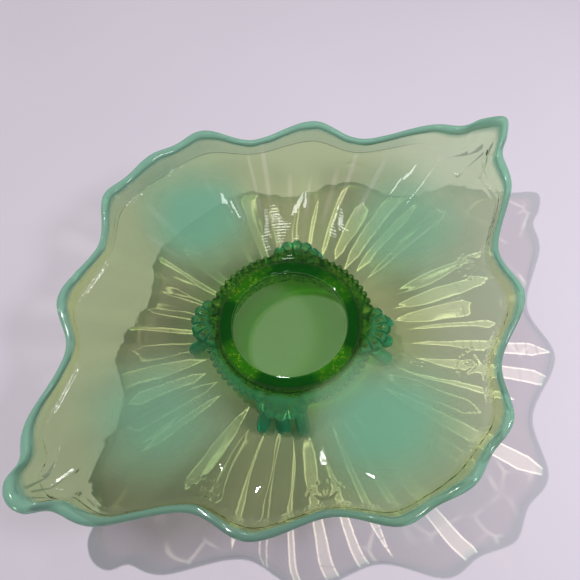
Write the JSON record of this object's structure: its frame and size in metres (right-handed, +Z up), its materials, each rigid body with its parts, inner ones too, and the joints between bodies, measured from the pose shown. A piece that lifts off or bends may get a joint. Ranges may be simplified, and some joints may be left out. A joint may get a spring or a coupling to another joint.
{
  "type": "glass dish",
  "caption": "Pressed uranium glass dish: a square crimped bowl with two drawn-out corners, ribbed fans, opal rim, and scallop shell feet on a short collar.",
  "frame": {"origin": "centre of the dish, on the plane that its feet stand on", "axes": "+Z up out of the bowl; the feet lie on X and Y; the drawn-out corners of the rim lie on the diagonal +X+Y and -X-Y"},
  "size_m": [0.2012, 0.2012, 0.0529],
  "materials": {
    "clear_glass": "gloss",
    "opal_glass": "gloss",
    "deep_glass": "gloss",
    "teal_glass": "gloss"
  },
  "bodies": {
    "root": {"base_floor": "clear_glass", "bowl_wall": "clear_glass", "opal_rim": "opal_glass", "foot_collar": "deep_glass", "shell_foot_right": "teal_glass", "shell_foot_back": "teal_glass", "shell_foot_left": "teal_glass", "shell_foot_front": "teal_glass", "beaded_flange_back_right": "teal_glass", "beaded_flange_back_left": "teal_glass", "beaded_flange_front_left": "teal_glass", "beaded_flange_front_right": "teal_glass"}
  },
  "joints": []
}
